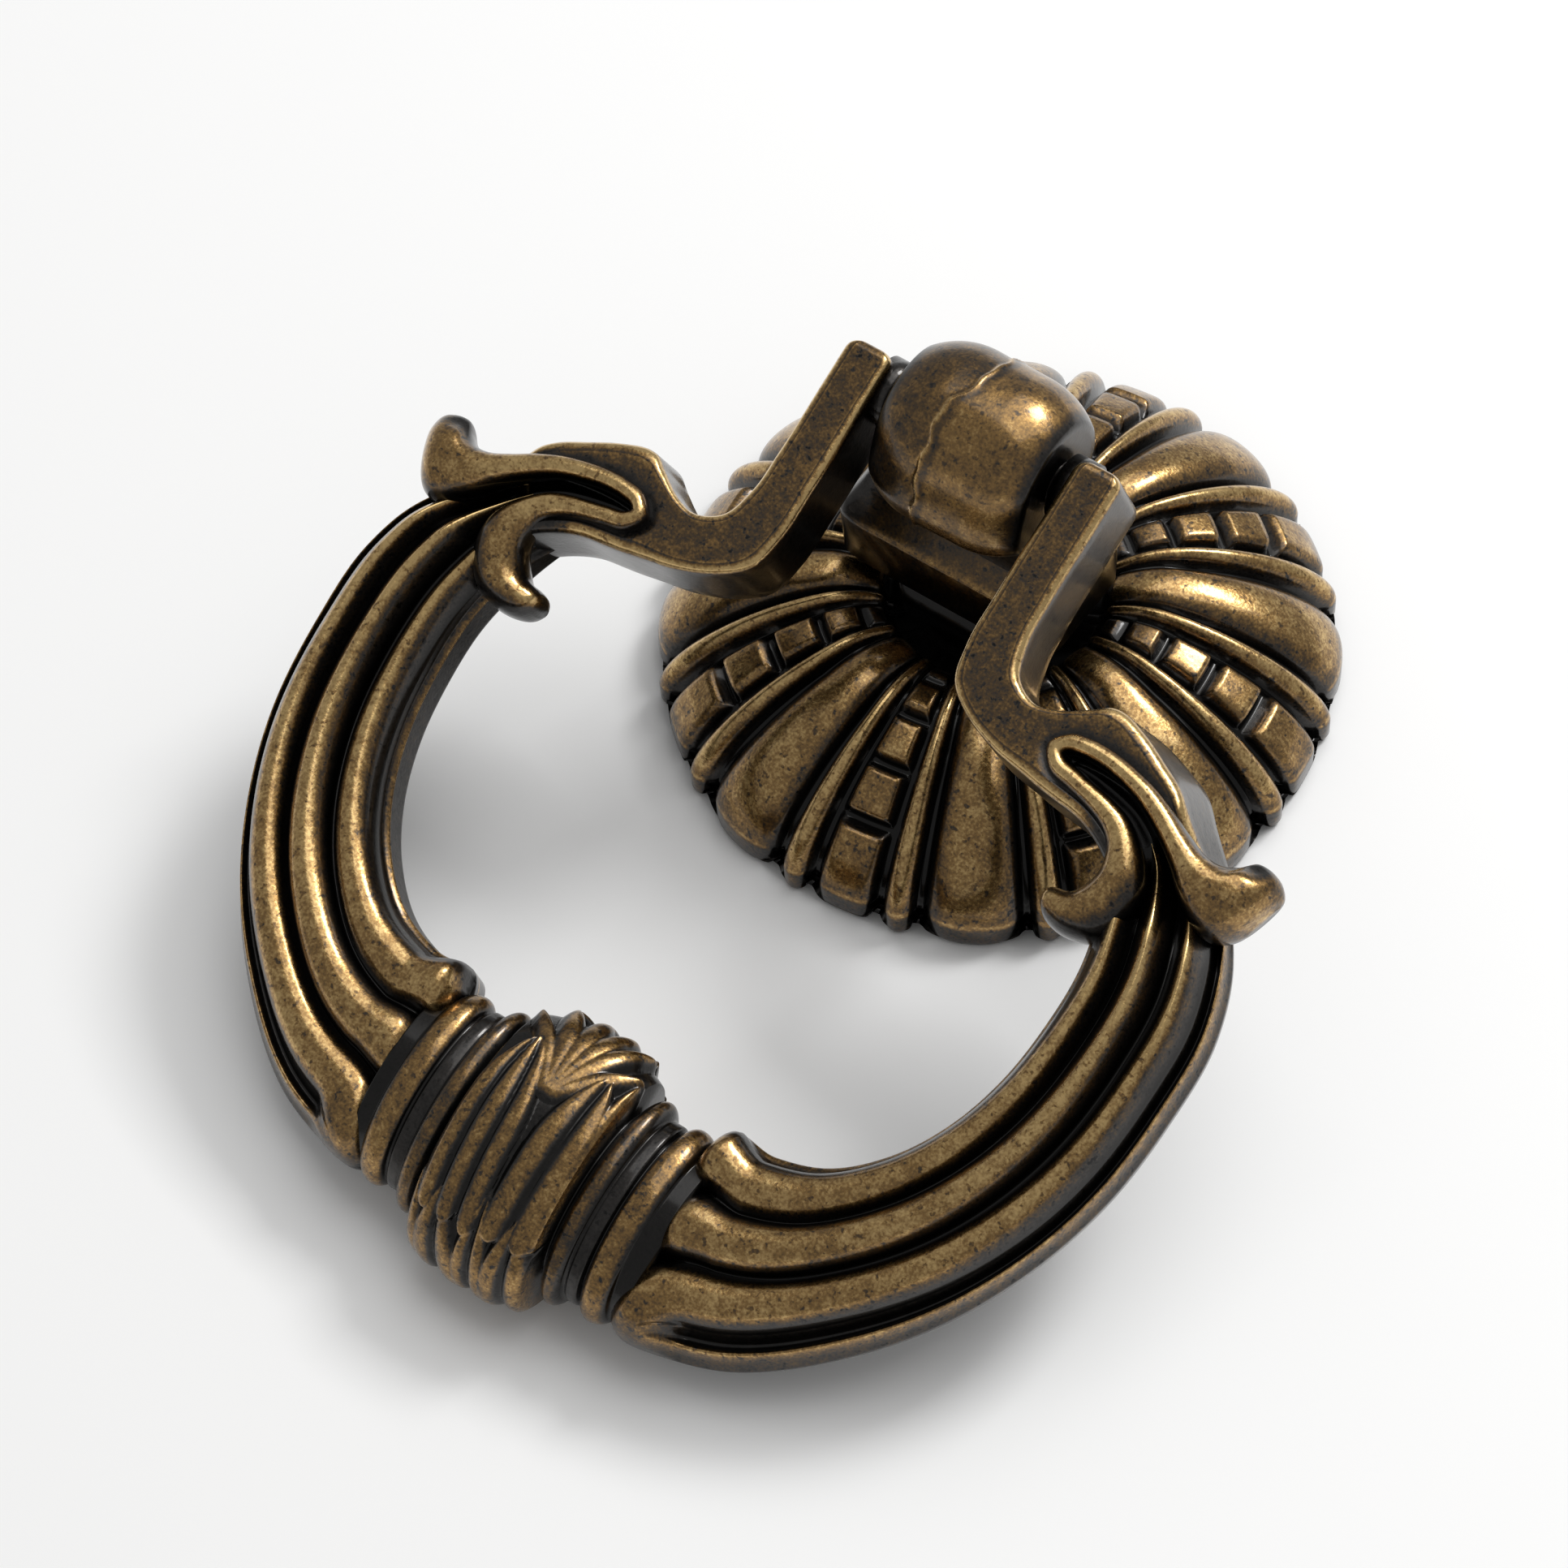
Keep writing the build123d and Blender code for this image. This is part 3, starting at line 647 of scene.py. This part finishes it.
# %% The scroll bead
SCROLL_EDGES = [
    (30.65, 15.70, 29.85, 18.10, 0.70, 0.45), (30.60, 15.05, 29.25, 18.95, 0.95, 1.50),
    (30.10, 14.50, 28.65, 19.40, 1.20, 2.05), (29.25, 14.20, 27.95, 19.55, 1.45, 2.25),
    (28.50, 14.25, 27.20, 19.35, 1.60, 2.20), (27.80, 14.95, 26.40, 18.90, 1.80, 2.10),
    (26.90, 15.45, 25.40, 18.10, 2.00, 1.95), (25.80, 15.40, 24.50, 17.20, 2.20, 1.75),
    (24.40, 14.85, 23.40, 16.30, 2.45, 1.50), (22.90, 14.10, 22.15, 15.45, 2.70, 1.25),
    (21.40, 13.50, 20.95, 14.80, 2.90, 1.10), (19.80, 13.08, 19.60, 14.36, 2.95, 1.05),
    (18.15, 12.82, 18.05, 14.06, 2.95, 1.00), (16.60, 12.82, 16.80, 14.02, 2.95, 1.00),
    (15.30, 13.15, 15.95, 14.15, 2.95, 1.00), (14.40, 14.30, 15.65, 14.35, 2.95, 1.00),
    (15.20, 15.55, 15.95, 14.60, 2.95, 1.00), (16.80, 16.02, 17.00, 14.82, 2.95, 1.00),
    (17.90, 16.27, 18.10, 15.05, 2.95, 1.00), (18.90, 16.60, 19.45, 15.30, 2.85, 1.05),
    (19.75, 17.05, 20.85, 15.75, 2.60, 1.25), (20.35, 17.65, 22.00, 16.55, 2.30, 1.50),
    (20.70, 18.50, 23.00, 17.60, 2.00, 1.80), (20.70, 19.35, 23.75, 18.90, 1.60, 2.10),
    (20.40, 20.00, 23.90, 20.40, 1.20, 2.30), (20.05, 20.50, 23.40, 21.80, 0.90, 2.30),
    (19.70, 20.85, 22.40, 22.80, 0.80, 2.20), (19.30, 21.00, 21.10, 23.25, 0.70, 2.10),
    (18.85, 21.05, 20.00, 23.30, 0.60, 2.00), (18.45, 21.20, 19.10, 23.05, 0.50, 1.80),
    (18.25, 21.60, 18.50, 22.50, 0.50, 1.20),
]
edge_way = smooth_line(SCROLL_EDGES, 340)
way = (edge_way[:, 0:2] + edge_way[:, 2:4]) / 2
half_across = (edge_way[:, 0:2] - edge_way[:, 2:4]) / 2
half_width = np.linalg.norm(half_across, axis=1)
turn = np.linspace(0, 2 * math.pi, 40, endpoint=False)
BEAD_POWER = 2.15
full = 2 / BEAD_POWER
out_u = np.sign(np.cos(turn)) * np.abs(np.cos(turn)) ** full
out_h = np.sign(np.sin(turn)) * np.abs(np.sin(turn)) ** full
bead_plan = way[:, None, :] + half_across[:, None, :] * out_u[None, :, None]
bead_h = edge_way[:, 4:5] + edge_way[:, 5:6] * out_h
wide = ease(0.9, 1.8, half_width)[:, None]
bead_rub = 0.14 + 0.78 * ease(0.35, 0.97, np.sin(turn))[None, :] * (1 - 0.25 * wide)
lean_in, upward = np.cos(turn)[None, :], np.clip(np.sin(turn), 0, 1)[None, :]
horn = ease(26.0, 27.8, way[:, 0])[:, None]
horn_end = ease(28.2, 29.4, way[:, 0])[:, None]
hook = ease(18.0, 20.0, way[:, 1])[:, None] * (way[:, :1] < 25)
dish = horn * (1 - 0.8 * horn_end) * ease(0.40, 0.85, lean_in)
bead_h = bead_h - 1.1 * dish * upward
bead_rub = bead_rub * (1 - 0.60 * dish) * (1 - 0.75 * hook * ease(-0.1, 0.7, -lean_in))
bead_rub = np.maximum(bead_rub, 0.44 * horn_end * ease(-0.6, 0.2, np.sin(turn)))
scroll = shell(on_ring(bead_plan[..., 0], bead_plan[..., 1], bead_h), bead_rub)
print("scroll bead", bead_h.shape)

# %% [markdown]
# ## The slot
# Inside the bead's turn the shoulder is cut by a narrow slot. Beside the bead the top face is darkened as
# painted shade and sunk a little. The slot is sunk into the strip's top face instead of being cut out, which
# keeps the grid whole. Its line is given as places and half widths.

# %% Slot and shade beside the bead
SLOT_DEPTH, SHADE_DEPTH = 1.3, 0.12
SLOT_LINE = [
    (15.9, 14.35, 0.3), (18.0, 14.55, 0.6), (20.0, 14.95, 0.8),
    (22.0, 15.9, 1.2), (24.0, 17.6, 1.9), (25.0, 19.0, 2.4),
]
slot_way = smooth_line(SLOT_LINE, 60)
top_face = (level == 1) & (step_h == 1)


def distances(points, line):
    """Distances from plan points to every point of a line."""
    gap = points[:, :, None, :] - line[None, None, :, :]
    return np.sqrt((gap**2).sum(-1))


bead_gap = distances(plan[:, top_face], way) - half_width[None, None, :]
slot_gap = distances(plan[:, top_face], slot_way[:, :2]) - slot_way[None, None, :, 2]
shade = 1 - ease(0.0, 0.7, bead_gap.min(-1))
slot = 1 - ease(-0.1, 0.25, slot_gap.min(-1))
# Painted shade: the top face is darkened beside the bead.
rub_and_shade[:, top_face] = rub_and_shade[:, top_face] * (1 - 0.75 * shade) * (1 - slot)
h[:, top_face] -= SLOT_DEPTH * slot + SHADE_DEPTH * shade
arm = shell(on_ring(plan[..., 0], plan[..., 1], h), rub_and_shade)
print("slot sunk at", int((slot > 0.5).sum()), "points")

# %% [markdown]
# ## Pivot bosses and stubs
# A short boss on each arm faces the head, and its stub runs in the head's hole. They hardly show, so plain
# turned shells do. The arms, scrolls, bosses and stubs of both sides then become one mesh.

# %% Pivot bosses and the arms' casting
boss = turned([(5.75, 1.9), (5.8, 2.15), (7.4, 2.15)], axis_x=True, rub_and_shade=0.15)
stub = turned([(3.4, 1.45), (5.9, 1.45)], axis_x=True, rub_and_shade=0.15)
both_sides = [piece for half in (arm, scroll, boss, stub) for piece in (half, mirrored(half))]
shoulders = cast("bail_shoulders", both_sides)
shoulders.data.materials.append(BAIL_BRASS)
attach(shoulders, "ring")
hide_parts("bail")

# %% [markdown]
# ## The ring
# Each half of the ring carries three rounded lobes with deep flutes between them, and widens towards the
# collar. A loft of sections could make it. Here an inner and an outer edge are drawn in plan, and every
# section is laid across from one to the other, so that the lobes keep their shares of the width.

# %% Half ring
RING_INNER = [
    (19.8, 15.8), (21.6, 20.4), (22.55, 24.5), (22.55, 28.5), (22.0, 32.5),
    (20.7, 36.3), (18.74, 39.44), (15.4, 42.3), (12.6, 43.2), (8.8, 43.5),
]
RING_OUTER = [
    (25.0, 15.6), (27.4, 16.9), (29.5, 19.6), (31.05, 24.0), (31.2, 29.5), (30.5, 35.5),
    (28.6, 41.2), (25.8, 46.2), (22.3, 50.3), (16.8, 54.6), (8.8, 57.0),
]
RING_ROWS = 230
ring_inner, ring_outer = smooth_line(RING_INNER, RING_ROWS), smooth_line(RING_OUTER, RING_ROWS)
ring_width = np.linalg.norm(ring_outer - ring_inner, axis=1)[:, None]
ring_across = (ring_outer - ring_inner) / ring_width
travel = np.r_[0, np.cumsum(np.linalg.norm(np.diff((ring_inner + ring_outer) / 2, axis=0), axis=1))][:, None]
to_end = travel[-1] - travel
near_collar = ease(26, 6, to_end)
fullness = ease(0, 1, np.clip(travel / travel[-1], 0, 1) * 1.15)
narrowest, widest = ring_width.min().round(2), ring_width.max().round(2)
print("half ring of", round(float(travel[-1, 0]), 1), "mm, width", narrowest, "to", widest)

# %% [markdown]
# ## The lobes
# The lobes end in noses at the collar. The inner one has a small knob at its end, and the outer one wraps
# down over the wall. They are a height over the section, rounded off by the distance to the end, and the rub
# is highest on their crests.

# %% Three lobes and the knob on the inner one
LOBE_CRESTS, NOSE_BACK, FLUTE = np.array([2.75, 3.35, 2.75]), np.array([0.0, 0.3, 0.0]), 1.75
KNOB_LENGTH, KNOB_WIDTH, EDGE_H = 4.8, 1.0, -1.0
NOSE_BOW, NOSE_LENGTH, NOSE_SINK, NOSE_FALL = 1.4, 1.9, 1.2, 2.95
OUTER_CREST, OUTER_STRETCH, ROLL_POWER = 5 / 6, 1.4, 2.4
wrap = 1 - ease(2.2, 4.4, to_end)
ledge_width = 0.45 + (0.75 + 0.80 * near_collar) * ease(0.5, 4.4, to_end)
top_share = np.linspace(0, 1, 91)
lobe_place = np.mod(top_share * 3, 1) * 2 - 1
lobe_number = np.minimum((top_share * 3).astype(int), 2)
bulge = (1 - np.abs(lobe_place) ** (1.5 + 0.8 * fullness)) ** (1.15 - 0.6 * fullness)


def nose_round(place, back):
    """How far a lobe's end has risen: 0 at its nose, 1 behind it, rounded in plan by the place across it."""
    behind = to_end - back - NOSE_BOW * (1 - np.sqrt(1 - place**2))
    return np.sqrt(1 - np.clip(1 - behind / NOSE_LENGTH, 0, 1) ** 2)


outer_lobe = lobe_number == 2
nose_place = np.where(outer_lobe, OUTER_STRETCH * (3 * top_share - 2) - 1, lobe_place)
nose = nose_round(nose_place, NOSE_BACK[lobe_number])
emerge = 1.7 * (1 - ease(1.5, 7.0, travel))
knob = 1 - ease(1.6, KNOB_LENGTH, to_end)
top_h = LOBE_CRESTS[lobe_number] - FLUTE + FLUTE * bulge * nose - NOSE_SINK * (1 - nose) - emerge
top_h = top_h + 0.35 * knob * bulge * (lobe_number == 0)
top_u = 0.1 + top_share * (ring_width - 0.1 - ledge_width)
top_u = top_u - KNOB_WIDTH * knob * np.interp(top_share, [0, 0.30, 0.36, 0.60, 1.0], [1, 1, 0.8, 0.6, 0])
crest_column = round(OUTER_CREST * (len(top_share) - 1))
crest_u = top_u[:, crest_column:crest_column + 1]


def rolled(u):
    """The round of the outer lobe's end: 1 at its crest, 0 at the outer wall."""
    way_out = np.clip((u - crest_u) / (ring_width - crest_u), 0, 1)
    return (1 - way_out**ROLL_POWER) ** (1 / ROLL_POWER)


def wrapped(u, nose_there):
    """Height of the outer lobe where it wraps down over the wall."""
    return EDGE_H + (LOBE_CRESTS[2] - EDGE_H - NOSE_FALL * (1 - nose_there)) * rolled(u)


top_h = np.where(top_share > OUTER_CREST, top_h + wrap * (wrapped(top_u, nose) - top_h), top_h)
polish = ease(0.74 - 0.18 * fullness, 0.98, bulge)
top_rub = 0.03 + 0.25 * ease(0.05, 0.6, bulge) + (0.72 - 0.20 * fullness) * polish
top_rub = top_rub + fullness * (0.14 * np.exp(-(((np.abs(lobe_place) - 0.6) / 0.14) ** 2)) - 0.05)
top_rub = np.where(top_share > OUTER_CREST, top_rub + wrap * (0.22 + 0.40 * rolled(top_u) - top_rub), top_rub)
top_rub = top_rub * ease(0.2, 0.8, nose)
print("lobes", top_h.shape, "crests up to", top_h.max().round(2), "mm")

# %% [markdown]
# ## Ledge, walls and back
# Outside the lobes a narrow ledge falls to the outer wall, with a sunk band and a thin ridge along it. A thin
# ridge also runs along the inner wall. The back can't be seen, so it is plain. All these parts join the lobes
# in one closed loop, and the loop is drawn in at the collar's end.

# %% Ledge, walls and back of the ring
RING_BACK, INNER_FOOT = -2.95, -2.6
ledge = np.linspace(0, 1, 25)[1:]
sunk_band = np.sin(math.pi * np.clip(ledge / 0.48, 0, 1))
thin_line = np.exp(-(((ledge - 0.62) / 0.13) ** 2))
edge_h = top_h[:, -1:]
ledge_u = ring_width - ledge_width * (1 - ledge)
ledge_nose = nose_round(0.4 + 0.6 * ledge, NOSE_BACK[2])
ledge_h = edge_h + (EDGE_H - edge_h) * ledge**1.3 + 0.50 * thin_line - 0.55 * sunk_band
ledge_h = ledge_h + wrap * (wrapped(ledge_u, ledge_nose) - ledge_h)
ledge_rub = 0.24 + 0.50 * thin_line - 0.21 * sunk_band
ledge_rub = ledge_rub + wrap * ((0.22 + 0.40 * rolled(ledge_u)) * ease(0.1, 0.6, ledge_nose) - ledge_rub)
wall = np.linspace(0, 1, 12)[1:-1]
outer_u, outer_h = ring_width - 0.45 * wall**2, EDGE_H - 1.7 * wall
low = np.linspace(0, 1, 10)
low_u = ring_width - 0.9 - (ring_width - 1.8) * low
wall_in = np.linspace(1, 0, 30)[1:-1]
thin_ridge = np.exp(-(((wall_in - 0.30) / 0.06) ** 2))
inner_u = 0.1 - KNOB_WIDTH * knob * (1 - 0.7 * wall_in) - 0.42 * thin_ridge * (1 - knob) - 0.4 * wall_in
inner_h = top_h[:, :1] + (INNER_FOOT - top_h[:, :1]) * wall_in
whole = np.zeros_like(ring_width)
loop_u = np.concatenate([top_u, ledge_u, outer_u, low_u, inner_u], 1)
loop_h = np.concatenate([top_h, ledge_h, whole + outer_h, RING_BACK + 0 * low_u, inner_h], 1)
outer_rub = 0.24 + 0.16 * wrap + 0 * wall
inner_rub = (0.19 + 0.55 * thin_ridge) * (0.3 + 0.7 * ease(4, 10, travel))
loop_rub = np.concatenate([top_rub, ledge_rub, outer_rub, 0.15 + 0 * low_u, inner_rub], 1)
end_round = 1 - np.sqrt(1 - np.clip(1 - to_end / 1.5, 0, 1) ** 2)
loop_u = ring_width / 2 + (loop_u - ring_width / 2) * (1 - 0.18 * end_round)
loop_h = loop_h * (1 - 0.4 * end_round)
corner_in = 1.0 * (1 - np.sqrt(1 - np.clip(1 - to_end / 2.4, 0, 1) ** 2))
loop_u = loop_u - corner_in * np.clip(2 * loop_u / ring_width - 1, 0, 1) ** 2
loop_u = loop_u + corner_in * np.clip(1 - 2 * loop_u / ring_width, 0, 1) ** 2
ring_plan = ring_inner[:, None, :] + ring_across[:, None, :] * loop_u[..., None]
half_ring = shell(on_ring(ring_plan[..., 0], ring_plan[..., 1], loop_h), loop_rub)
ring = cast("bail_ring", [half_ring, mirrored(half_ring)])
ring.data.materials.append(BAIL_BRASS)
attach(ring, "ring")
print("ring section of", loop_u.shape[1], "points")

# %% [markdown]
# ## The collar
# A flattened collar joins the two halves: a bead, a low step and a half-round band on each side, and between
# them leaves wrapped round a bulge. It is a grid round the collar's axis, with a radius for each place along
# it, squeezed to the flatness of the ring.

# %% Collar
COLLAR_REACH, FLATNESS, LEAF_HALF = 50.1, 0.58, 4.3
collar_x = np.linspace(-10.2, 10.2, 240)
collar_turn = np.linspace(0, 360, 390, endpoint=False)
off = np.abs(collar_x)


def half_round(middle, half):
    """A half-round shape along the collar, 1 at its middle."""
    return np.sqrt(np.clip(1 - ((off - middle) / half) ** 2, 0, 1))


stepped, bead = half_round(5.35, 0.80), half_round(8.0, np.where(off < 8.0, 0.78, 1.15))
step = np.clip(1 - (np.abs(off - 6.6) / 0.55) ** 6, 0, 1)
turned_radius = 5.5 + np.maximum(np.maximum(1.35 * stepped, 0.55 * step), 0.95 * bead)
body_radius = np.where(off < LEAF_HALF, 8.15 - 0.75 * (off / LEAF_HALF) ** 3, turned_radius)
band_rub = np.maximum(0.42 * ease(0.6, 1, stepped), 0.10 * step)
collar_rub = 0.03 + np.maximum(band_rub, 0.60 * ease(0.35, 0.9, bead))
collar_rub = np.where(off < LEAF_HALF, 0.06, collar_rub)
print("collar radii from", turned_radius.min(), "to", body_radius.max().round(2))

# %% [markdown]
# ## The leaves
# Seven long leaves with one to three ribs lie round the bulge, and six narrow ones fan out from one foot.
# They are a height over the collar's grid, and where two meet the higher one shows. The carving on the real
# one is freer. Its far side can't be seen, so it mirrors the front. A leaf is a foot and a tip, each as a
# place along the collar and a turn round it in degrees, then a half width, a number of ribs and a lift.

# %% Leaves on the collar
LEAF_SCALE = 0.75
LEAVES = [
    (-1.7, 44, -2.5, 137, 2.35, 3, 0.20), (2.4, 48, 2.7, 137, 2.0, 2, 0.20),
    (-0.6, -60, -2.4, 62, 2.2, 2, 0.05), (3.2, -60, 2.9, 68, 2.0, 2, 0.05),
    (-4.2, -60, -4.5, 64, 1.8, 2, 0.0), (1.2, -60, 0.4, 70, 1.5, 2, 0.0), (3.9, 50, 4.1, 150, 0.9, 1, 0.05),
]
FAN_TIPS = [(-4.2, 160), (-2.9, 186), (-0.6, 200), (1.7, 195), (3.4, 180), (4.3, 152)]
LEAVES += [(0.0, 112, tip_x, tip_turn, 0.95, 1, 0.10) for tip_x, tip_turn in FAN_TIPS]
folded = np.where(collar_turn > 180, 360 - collar_turn, collar_turn)
rise = np.zeros((len(collar_x), len(collar_turn)))
leaf_rub = np.zeros_like(rise)
for foot_x, foot_turn, tip_x, tip_turn, half, ribs, lift in LEAVES:
    q = (folded - foot_turn) / (tip_turn - foot_turn)
    point = np.clip(1 - ((q - 0.5) / 0.5) ** 2, 0, 1) ** 0.8
    taper = np.where(q > 0.5, point, 1) * half
    across = collar_x[:, None] - (foot_x + (tip_x - foot_x) * q)[None, :]
    rib_count = ribs * (across / np.maximum(taper, 0.01) + 1) / 2
    to_foot = (q - 0.08 * (2 * np.mod(rib_count, 1) - 1) ** 2) * (tip_turn - foot_turn) * 0.12
    to_edge = np.minimum(taper - np.abs(across), to_foot)
    inside = (to_edge > 0) & (q < 1)
    rib = np.abs(np.sin(math.pi * rib_count)) ** 0.65
    edge = np.sqrt(1 - np.clip(1 - to_edge / 0.45, 0, 1) ** 2)
    height = np.where(inside, lift + (0.12 + 0.72 * rib) * edge, 0)
    leaf_rub = np.where(height > rise, 0.04 + 0.60 * ease(0.45, 0.97, rib) * ease(0.4, 1.0, edge), leaf_rub)
    rise = np.maximum(rise, height)
leaf_zone = (off < LEAF_HALF)[:, None]
end_fall = np.sqrt(np.clip(1 - np.clip((off - LEAF_HALF + 0.5) / 0.5, 0, 1) ** 2, 0, 1))[:, None]
radius = body_radius[:, None] + LEAF_SCALE * rise * leaf_zone * end_fall
rub_on_collar = np.where((rise > 0.02) & leaf_zone, leaf_rub, collar_rub[:, None])
swing = np.radians(collar_turn)[None, :]
collar_points = on_ring(
    np.broadcast_to(collar_x[:, None], radius.shape),
    COLLAR_REACH + radius * np.cos(swing),
    radius * FLATNESS * np.sin(swing),
)
collar = cast("bail_collar", [shell(collar_points, rub_on_collar)])
collar.data.materials.append(BAIL_BRASS)
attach(collar, "ring")
print("leaves", len(LEAVES), "rise up to", round(LEAF_SCALE * float(rise.max()), 2), "mm")

# %% [markdown]
# ## The table
# The pull lies on a plain white table, which is stage and not part of the object. It lies a hair below the
# rosette's back, so that the two faces don't fight.

# %% Floor
FLOOR_Z = -0.00005
floor_mesh = bpy.data.meshes.new("floor")
floor_corners = [(x, y, FLOOR_Z) for x, y in ((-3, -3), (3, -3), (3, 3), (-3, 3))]
floor_mesh.from_pydata(floor_corners, [], [(0, 1, 2, 3)])
floor = bpy.data.objects.new("floor", floor_mesh)
bpy.context.scene.collection.objects.link(floor)
paper = bpy.data.materials.new("white_table")
paper.use_nodes = True
paper.node_tree.nodes["Principled BSDF"].inputs["Base Color"].default_value = (0.93, 0.93, 0.925, 1)
paper.node_tree.nodes["Principled BSDF"].inputs["Roughness"].default_value = 0.6
floor_mesh.materials.append(paper)
floor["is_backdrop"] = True
print("floor at mm", FLOOR_Z / MM)

# %% [markdown]
# ## The light
# A small lamp from the upper right throws the shadow to the lower left. A broad softbox beside it widens the
# highlights, and an even white room fills the rest.

# %% Lamps and room
def lamp(name, toward, distance, size, power):
    """A square lamp that shines at the pull from a direction."""
    light = bpy.data.lights.new(name, "AREA")
    light.shape = "SQUARE"
    light.size = size
    light.energy = power
    made = bpy.data.objects.new(name, light)
    bpy.context.scene.collection.objects.link(made)
    direction = Vector(toward).normalized()
    made.location = Vector((0, -0.02, 0.01)) + direction * distance
    made.rotation_euler = direction.to_track_quat("Z", "Y").to_euler()
    return made


away = Vector((-math.sin(AZIMUTH), math.cos(AZIMUTH), 0))
key = lamp("key", right * 0.86 + away * 0.56 + Vector((0, 0, 1.05)), 0.6, 0.16, 1.6)
lamp("softbox", right * 0.45 + away * 0.35 + Vector((0, 0, 1.2)), 0.9, 0.9, 4.0)
room = bpy.data.worlds.new("white_room")
room.use_nodes = True
room.node_tree.nodes["Background"].inputs["Color"].default_value = (1, 1, 1, 1)
room.node_tree.nodes["Background"].inputs["Strength"].default_value = 0.39
bpy.context.scene.world = room
bpy.context.scene.view_settings.view_transform = "Standard"
print("key lamp at", [round(c, 2) for c in key.location])

# %% [markdown]
# ## Sizes
# The box of the dressed part is printed in millimetres.

# %% Sizes and finish
low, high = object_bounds()
print("visual box in mm:", [round(c / MM, 2) for c in (*low, *high)])
